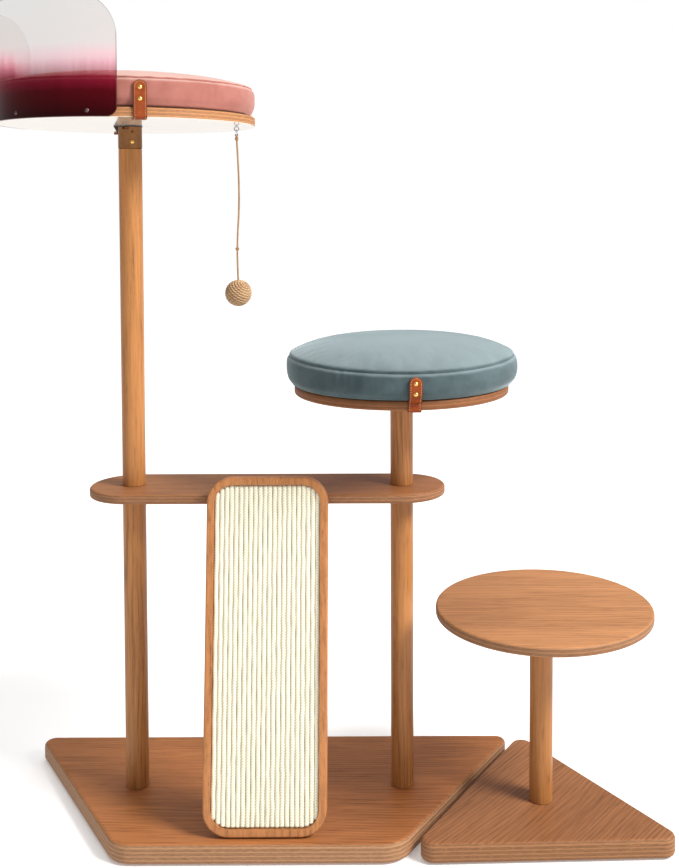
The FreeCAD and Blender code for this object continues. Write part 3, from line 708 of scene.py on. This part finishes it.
def cushion(name, x, y, base, bulge, seam, crown, joins, body, slot, finish, node, gather, pull,
            cap=0.012, keep=0.0):
    """Box cushion: cloth skin taken over by an even grid, then seams, puckers and soft dents.

    Along each seam the skin sinks by depth exp(-(d / width)^2); puckers are short sine waves in
    the angle that die out away from the seam; joins are angles of the band's own upright seams.
    pull (angle, amount) lowers the upper seam under the two straps and lifts it between them.
    """
    profile, low_seam, high_seam = drum(base, bulge, seam, crown)
    steps = 256
    thin = profile.copy()
    thin[:, 0] *= 0.992
    thin[high_seam:, 1] = seam[1] + (thin[high_seam:, 1] - seam[1]) * 0.82
    grid = lathe(profile, steps, x, y)
    skin = blown(name + "_skin", thin, x, y, [thin[low_seam], thin[high_seam]], cap)
    shell_mesh = new_mesh(name + "_grid", grid, grid_faces(len(profile), steps, wrap_columns=True))
    shell = bpy.data.objects.new(name + "_grid", shell_mesh)
    scene.collection.objects.link(shell)
    wrap = shell.modifiers.new("take", "SHRINKWRAP")
    wrap.target = skin
    wrap.wrap_method = "NEAREST_SURFACEPOINT"
    graph = bpy.context.evaluated_depsgraph_get()
    grid = points_of(shell.evaluated_get(graph).data).reshape(grid.shape)
    bpy.data.objects.remove(shell)
    bpy.data.objects.remove(skin)
    a = np.arange(steps) * TAU / steps
    flat = grid[..., :2] - (x, y)
    radius = np.linalg.norm(flat, axis=-1)
    height = grid[..., 2]
    # bring the skin to the made size: radius at the band's fullest, height at the crown
    fullest = radius[low_seam:high_seam + 1].mean(1).max()
    radius = radius * (bulge / fullest)
    rise = (height[high_seam:].mean(1).max() - seam[1])
    top = height > seam[1]
    height = np.where(top, seam[1] + (height - seam[1]) * (crown - seam[1]) / rise, height)
    # one row per unit of profile length away from the upper seam
    run = np.concatenate([[0], np.cumsum(np.linalg.norm(np.diff(profile, axis=0), axis=1))])
    above = (run - run[high_seam])[:, None]
    below = (run - run[low_seam])[:, None] - 0.009
    wave = (np.sin(47 * a + 2 * np.sin(3 * a)) * (0.5 + 0.5 * np.sin(5 * a + 1.0))
            + 0.6 * np.sin(31 * a + 1.7 + 3 * np.sin(2 * a)) * (0.5 + 0.5 * np.sin(4 * a + 2.6)))[None]
    slow = (np.sin(3 * a + 0.5) + 0.6 * np.sin(5 * a + 2.0) + 0.4 * np.sin(8 * a + 4.0))[None]
    sink = 0.0024 * np.exp(-(above / 0.0026) ** 2) + 0.0014 * np.exp(-(below / 0.003) ** 2)
    pucker = gather * wave * np.exp(-(np.abs(above) - 0.009) ** 2 / 0.008 ** 2)
    dent = 0.0009 * slow * np.exp(-((above + 0.022) / 0.02) ** 2)
    for angle in joins:
        gap = (a - angle + math.pi) % TAU - math.pi
        band = (above < 0) * (below > 0)
        away = gap * radius.max()
        dent = dent - band * 0.0016 * np.exp(-(away / 0.0022) ** 2)[None]
        ripple = np.sin(gap * 90) * np.exp(-(away / 0.02) ** 2)
        dent = dent + band * 0.0008 * ripple[None]
    share = np.clip(radius / radius.max(), 0, 1) ** 3
    radius = radius + (pucker + dent - sink) * share
    radius = np.minimum(radius, keep) if keep else radius
    height = height + np.where(above > 0, (pucker * 0.8 - 0.6 * sink) * share, 0)
    raised = np.clip((height - base[1]) / (seam[1] - base[1]), 0, 1)
    height = height - pull[1] * np.cos(2 * (a - pull[0])) * raised * share
    turn = np.broadcast_to(a, radius.shape)
    points = np.stack([x + radius * np.cos(turn), y + radius * np.sin(turn), height], -1)
    mesh = new_mesh(name, points, grid_faces(len(profile), steps, wrap_columns=True), weld=1e-6)
    made = piece(mesh, body, finish, [node])
    smooth = made.modifiers.new("fine", "SUBSURF")
    smooth.levels = smooth.render_levels = 1
    return made


BLUE_WALL = dict(base=(0.178, MID_TOP + 0.0008), bulge=0.1922, seam=(0.1892, MID_TOP + 0.046))
PINK_WALL = dict(base=(0.1975, TOP_TOP + 0.0008), bulge=0.2063, seam=(0.2046, TOP_TOP + 0.045))


def make_cushions():
    cushion("blue_seat", MID_X, MID_Y, crown=MID_TOP + 0.081, joins=(1.9, 4.2), gather=0.00022,
            pull=(math.radians(276), 0.0032), body="main_unit", slot="blue_velvet", finish=BLUE,
            node="blue_cushion", **BLUE_WALL)
    cushion("pink_seat", TOP_X, TOP_Y, crown=TOP_TOP + 0.068, joins=(math.radians(-37), 2.3), gather=0.0006,
            pull=(math.radians(288), 0.001), body="top_perch", slot="pink_velvet", finish=PINK,
            node="pink_cushion", keep=0.2068, **PINK_WALL)


# ---- straps ----------------------------------------------------------------------------
STRAP_HALF = 0.010
STRAP_T = 0.0025


def strap(name, node, body, x, y, disc_r, low, wall, top, angle):
    """Leather strap: under the disc, round its rim and up the wall, with a half-round end.

    Its middle line is a chain of (radius, height) points; the strip bends round the disc, so a
    point w across it lies at the angle w / radius beside the line.
    """
    under = low - 0.0002 - STRAP_T / 2
    out = wall[0][0] + STRAP_T / 2
    corner = 0.0035
    turn = np.linspace(-math.pi / 2, 0, 9)
    chain = [(disc_r - 0.025, under), (disc_r - 0.012, under)]
    chain += [(out - corner + corner * math.cos(t), under + corner + corner * math.sin(t)) for t in turn]
    chain += [(r + STRAP_T / 2, z) for r, z in wall]
    chain = np.array(chain)
    run = np.concatenate([[0], np.cumsum(np.linalg.norm(np.diff(chain, axis=0), axis=1))])
    run_top = np.interp(top, chain[-len(wall):, 1], run[-len(wall):])
    s = np.concatenate([np.linspace(0, run_top - STRAP_HALF, 60)[:-1],
                        run_top - STRAP_HALF + STRAP_HALF * np.sin(np.linspace(0, math.pi / 2, 22))])

    def spot(along, beside, lift=0.0):
        """Point of the strip at a length along it and a distance beside its middle."""
        r = np.interp(along, run, chain[:, 0])
        z = np.interp(along, run, chain[:, 1])
        dr = np.interp(along + 0.0004, run, chain[:, 0]) - np.interp(along - 0.0004, run, chain[:, 0])
        dz = np.interp(along + 0.0004, run, chain[:, 1]) - np.interp(along - 0.0004, run, chain[:, 1])
        size = np.hypot(dr, dz) + 1e-12
        r, z = r + lift * dz / size, z - lift * dr / size
        a = angle + beside / r
        return np.stack(np.broadcast_arrays(x + r * np.cos(a), y + r * np.sin(a), z), -1)

    half = np.where(s > run_top - STRAP_HALF,
                    np.sqrt(np.maximum(STRAP_HALF ** 2 - (s - run_top + STRAP_HALF) ** 2, 0)), STRAP_HALF)
    half = np.maximum(half, 0.0003)
    w = np.linspace(-1, 1, 13)
    grid = spot(s[:, None], half[:, None] * w[None])
    uv = np.stack(np.broadcast_arrays((w[None] + 1) / 2, s[:, None]), -1)
    mesh = new_mesh(name, grid, grid_faces(len(s), len(w))[:, ::-1], uv)
    made = piece(mesh, body, LEATHER, [node])
    thick = made.modifiers.new("hide", "SOLIDIFY")
    thick.thickness = STRAP_T
    thick.offset = 0.0
    edge = made.modifiers.new("edge", "BEVEL")
    edge.width = 0.0006
    edge.segments = 2
    edge.limit_method = "ANGLE"

    # stitches: short thread beads along both edges and round the end
    inset = STRAP_HALF - 0.0022
    straight = np.arange(0.004, run_top - STRAP_HALF, 0.0036)
    bend = np.linspace(0, math.pi, 9)
    along = np.concatenate([straight, straight, run_top - STRAP_HALF + inset * np.sin(bend)])
    side = np.full(len(straight), inset)
    beside = np.concatenate([-side, side, -inset * np.cos(bend)])
    head = np.concatenate([np.zeros(2 * len(straight)), math.pi / 2 - bend])
    reach = 0.0011
    step_s, step_w = reach * np.cos(head), reach * np.sin(head)
    lift = STRAP_T / 2 + 0.0001
    a = np.linspace(-1, 1, 7)
    lines = np.stack([spot(along + k * step_s, beside + k * step_w, lift) for k in a], 1)
    out_way = lines[:, 3] - np.array((x, y, 0))
    out_way[:, 2] = 0
    beads = [sweep(l, 0.00042 * np.sqrt(np.maximum(1 - a ** 2, 0)), o + (0.001, 0.002, 0.01), 6)
             for l, o in zip(lines, out_way)]
    piece(tube_mesh(name + "_stitches", beads), body, THREAD)


def make_straps():
    def over(disc_r, low, top, wall):
        """Inner line of a strap: up the disc's rim, then over the cushion's band with a little slack."""
        rim = (disc_r + 0.0004, top - 0.001)
        seam = (wall["seam"][0] + 0.0016, wall["seam"][1])
        return [(disc_r + 0.0004, low + 0.004)] + band_curve(rim, wall["bulge"] + 0.0018, seam, 40).tolist()

    blue = over(MID_R, MID_LOW, MID_TOP, BLUE_WALL)
    pink = [(TOP_R + 0.0004, TOP_LOW + 0.004), (TOP_R + 0.0004, TOP_TOP),
            (TOP_R + 0.0005, TOP_TOP + 0.046)]
    for label, angle in (("front", 276), ("back", 96)):
        strap("blue_leather_" + label, "blue_strap_" + label, "main_unit", MID_X, MID_Y, MID_R, MID_LOW,
              blue, MID_TOP + 0.039, math.radians(angle))
    for label, angle in (("front", 288), ("back", 108)):
        strap("pink_leather_" + label, "pink_strap_" + label, "top_perch", TOP_X, TOP_Y, TOP_R, TOP_LOW,
              pink, TOP_TOP + 0.040, math.radians(angle))


# ---- screen ----------------------------------------------------------------------------
def make_screen():
    """Curved sheet: at arc length s the edges are at level -/+ what the corner circles allow."""
    low, high = TOP_LOW, SCREEN_TOP
    radius = TOP_R + 0.0018
    start, end = math.radians(155), math.radians(279)
    length = (end - start) * radius
    s = length * (0.5 - 0.5 * np.cos(np.linspace(0, math.pi, 150)))
    near = np.minimum(s, length - s)
    big, small = 0.065, 0.016
    top = high - big + np.sqrt(np.maximum(big ** 2 - np.maximum(big - near, 0) ** 2, 0))
    bottom = low + small - np.sqrt(np.maximum(small ** 2 - np.maximum(small - near, 0) ** 2, 0))
    t = 0.5 - 0.5 * np.cos(np.linspace(0, math.pi, 48))[:, None]
    z = bottom + (top - bottom) * t
    inset = np.minimum(np.minimum(z - bottom, top - z), near) * 1000
    a = start + s / radius
    points = np.stack(np.broadcast_arrays(TOP_X + radius * np.cos(a), TOP_Y + radius * np.sin(a), z), -1)
    uv = np.stack(np.broadcast_arrays(inset, s / length), -1)
    mesh = new_mesh("screen_sheet", points, grid_faces(*points.shape[:2]), uv)
    made = piece(mesh, "top_perch", ACRYLIC, ["screen"])
    thick = made.modifiers.new("sheet", "SOLIDIFY")
    thick.thickness = 0.003
    thick.offset = 0.0
    edge = made.modifiers.new("edge", "BEVEL")
    edge.width = 0.0005
    edge.segments = 2
    edge.limit_method = "ANGLE"


# ---- scratching board ------------------------------------------------------------------
def make_mat():
    """Ribs side by side on the leaning panel, each beaded along its length, over a backing sheet.

    On the board's own axes (across, along), a rib at x runs between the levels where the rounded
    outline meets x; its section is a half ellipse whose height swells once per bead.
    """
    low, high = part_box("scratcher_mat")
    half_w = (high.x - low.x) / 2
    mid_x = (high.x + low.x) / 2
    rise, back = high.z - low.z, high.y - low.y
    thick = 0.0068
    lean = math.atan2(back - thick, rise)
    depth, tall = back - thick * math.cos(lean), rise - thick * math.sin(lean)
    lean = math.asin(min(1, depth / math.hypot(tall, depth)))
    length = (rise - thick * math.sin(lean)) / math.cos(lean)
    foot = np.array([mid_x, low.y + thick * math.cos(lean), low.z])
    up = np.array([0, math.sin(lean), math.cos(lean)])
    out = np.array([0, -math.cos(lean), math.sin(lean)])
    side = np.array([1.0, 0, 0])
    corner = 0.0286
    count = 22
    pitch = 2 * half_w / count
    rows = 380
    parts = []
    rand = np.random.default_rng(7)
    face = thick - 0.0001
    for i in range(count):
        x = -half_w + (i + 0.5) * pitch
        near = max(corner - (half_w - abs(x)) - pitch * 0.25, 0.0)
        cut = corner - math.sqrt(max(corner ** 2 - near ** 2, 0.0))
        ease = rand.uniform(-0.0004, 0.0004, 2)
        v = np.linspace(cut + 0.0004 + ease[0], length - cut - 0.0004 + ease[1], rows)
        bead = 0.5 + 0.5 * np.cos(TAU * v / 0.0042 + math.pi * (i % 2) + rand.uniform(-0.3, 0.3))
        sway = 0.00022 * np.sin(v * 60 + rand.uniform(0, 6))
        sway = sway + 0.00018 * np.sin(v * 170 + rand.uniform(0, 6))
        a = np.linspace(math.pi, 0, 10)[None]
        end = np.sqrt(np.clip(np.minimum(v - v[0], v[-1] - v) / 0.0025, 0, 1))[:, None]
        wide = (pitch * 0.5 * (0.965 + 0.06 * bead))[:, None] * (0.35 + 0.65 * end)
        tall = (0.0036 + 0.0006 * bead)[:, None] * end
        across = x + sway[:, None] + wide * np.cos(a)
        lift = face - 0.0042 + tall * np.sin(a) ** 0.8
        points = (foot + across[..., None] * side + v[:, None, None] * up + lift[..., None] * out)
        uv = np.stack(np.broadcast_arrays(1 - a / math.pi, v[:, None] / 0.0042), -1)
        parts.append((points, uv))
    for half, name in ((0, "mat_ribs_left"), (1, "mat_ribs_right")):
        ribs = parts[half * count // 2:(half + 1) * count // 2]
        piece(tube_mesh(name, ribs), "main_unit", RIBS)

    # backing under the ribs, a flat plate with the same rounded outline
    a = np.linspace(0, TAU, 81)[:-1]
    cx = np.where(np.cos(a) >= 0, 1, -1) * (half_w - corner)
    cy = np.where(np.sin(a) >= 0, 1, -1) * (length / 2 - corner) + length / 2
    rim = np.stack([cx + corner * np.cos(a), cy + corner * np.sin(a)], -1)
    levels = [0.0002, face - 0.0040]
    middle_point = foot + length / 2 * up
    layers = [np.tile(middle_point + levels[0] * out, (80, 1))]
    for level in levels:
        layers.append(foot + rim[:, :1] * side + rim[:, 1:] * up + level * out)
    layers.append(np.tile(middle_point + levels[1] * out, (80, 1)))
    mesh = new_mesh("mat_backing", np.stack(layers), grid_faces(4, 80, wrap_columns=True), weld=1e-7)
    mesh.set_sharp_from_angle(angle=0.6)
    piece(mesh, "main_unit", BACKING, ["scratcher_mat"])


# ---- all finishes ----------------------------------------------------------------------
BASE_LOW, BASE_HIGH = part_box("main_base")[0].z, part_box("main_base")[1].z
SHELF_LOW, SHELF_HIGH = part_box("shelf")[0].z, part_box("shelf")[1].z

make_camera()
BASE_WOOD = wood("base_wood", (0.345, 0.128, 0.04), plies=[(BASE_LOW, BASE_HIGH, 10, 0.0018)])
SIDE_WOOD = wood("side_base_wood", (0.27, 0.113, 0.045), turn=math.radians(-52),
                 plies=[(BASE_LOW, BASE_HIGH, 10, 0.0018)], edge=(0.28, 0.13, 0.055))
SHELF_WOOD = wood("shelf_wood", (0.30, 0.125, 0.048), plies=[(SHELF_LOW, SHELF_HIGH, 6, 0.0014)],
                  edge=(0.26, 0.12, 0.055))
MID_WOOD = wood("middle_disc_wood", (0.30, 0.125, 0.048), plies=[(MID_LOW, MID_TOP, 5, 0.0012)],
                edge=(0.21, 0.078, 0.026))
TOP_WOOD = wood("top_disc_wood", (0.34, 0.155, 0.062), plies=[(TOP_LOW + MM, TOP_TOP, 5, 0.0012)],
                edge=(0.36, 0.165, 0.068))
TABLE_WOOD = wood("table_wood", (0.355, 0.158, 0.062), plies=[(SIDE_LOW, SIDE_TOP, 5, 0.0012)],
                  edge=(0.27, 0.13, 0.06))
POST_WOOD = wood("post_wood", (0.36, 0.152, 0.046), along="z", figure=700.0, gloss=0.36)
BOARD_WOOD = wood("board_wood", (0.40, 0.165, 0.058), along="z", figure=520.0)
# each velvet's third colour is its painted lit top: the lighter colour where the cloth faces the light above
BLUE = velvet("blue_velvet", shade(62, 76, 79, 0.6), shade(102, 121, 126, 0.6), shade(142, 158, 162, 0.6),
              shade(190, 205, 210))
PINK = velvet("pink_velvet", shade(152, 90, 80, 0.66), shade(192, 128, 116, 0.66), shade(208, 172, 162, 0.7),
              shade(236, 206, 198))
LEATHER = leather("saddle_leather")
THREAD = fibres("stitch_thread", shade(190, 140, 90, 0.7), shade(235, 200, 150, 0.8), 900.0)
TWINE = fibres("jute_twine", shade(112, 78, 44, 0.8), shade(206, 166, 116, 0.85), 700.0)
SISAL = fibres("sisal_rope", shade(140, 100, 66, 0.8), shade(216, 182, 140, 0.82), 1.0)
RIBS = rib_cord("mat_cord")
BACKING = felt("mat_backing", shade(206, 196, 168, 0.55))
BRASS = metal("brass", shade(224, 180, 104), 0.2)
BRONZE = metal("bronze", shade(150, 106, 70, 0.85), 0.36, (1.0, 1.0, 0.04))
STEEL = metal("zinc_steel", shade(190, 190, 196), 0.28)
BRIGHT = metal("bright_steel", shade(220, 220, 224), 0.16)
SMOKED = metal("smoked_steel", shade(96, 78, 80), 0.34)
BLACK = painted("black_paint", (0.012, 0.012, 0.012, 1), 0.35)
FELT = felt("pad_felt", (0.05, 0.045, 0.04, 1))
CREAM = laminate("cream_laminate")
ACRYLIC = acrylic("wine_acrylic", TOP_LOW, SCREEN_TOP)

DRESSED = {
    "main_base": BASE_WOOD, "side_base": SIDE_WOOD, "shelf": SHELF_WOOD, "middle_disc": MID_WOOD,
    "top_disc": TOP_WOOD, "side_table_top": TABLE_WOOD, "top_laminate": CREAM, "sleeve": BRONZE,
    "sleeve_plate": BLACK, "sleeve_gusset": BLACK, "toy_eye": STEEL, "toy_ring": BRIGHT,
    "lock_screw": BRASS, "screen_screws": SMOKED, "blue_strap_rivets": BRASS, "pink_strap_rivets": BRASS,
    "scratcher_frame": BOARD_WOOD, "scratcher_panel": BOARD_WOOD, "scratcher_dowels": BOARD_WOOD,
    "main_base_pads": FELT, "side_base_pads": FELT,
}
for name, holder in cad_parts.items():
    finish = DRESSED.get(name, POST_WOOD if name.endswith("_post") else STEEL)
    holder.data.materials.clear()
    holder.data.materials.append(finish)

make_toy()
make_studio()
make_cushions()
make_straps()
make_screen()
make_mat()
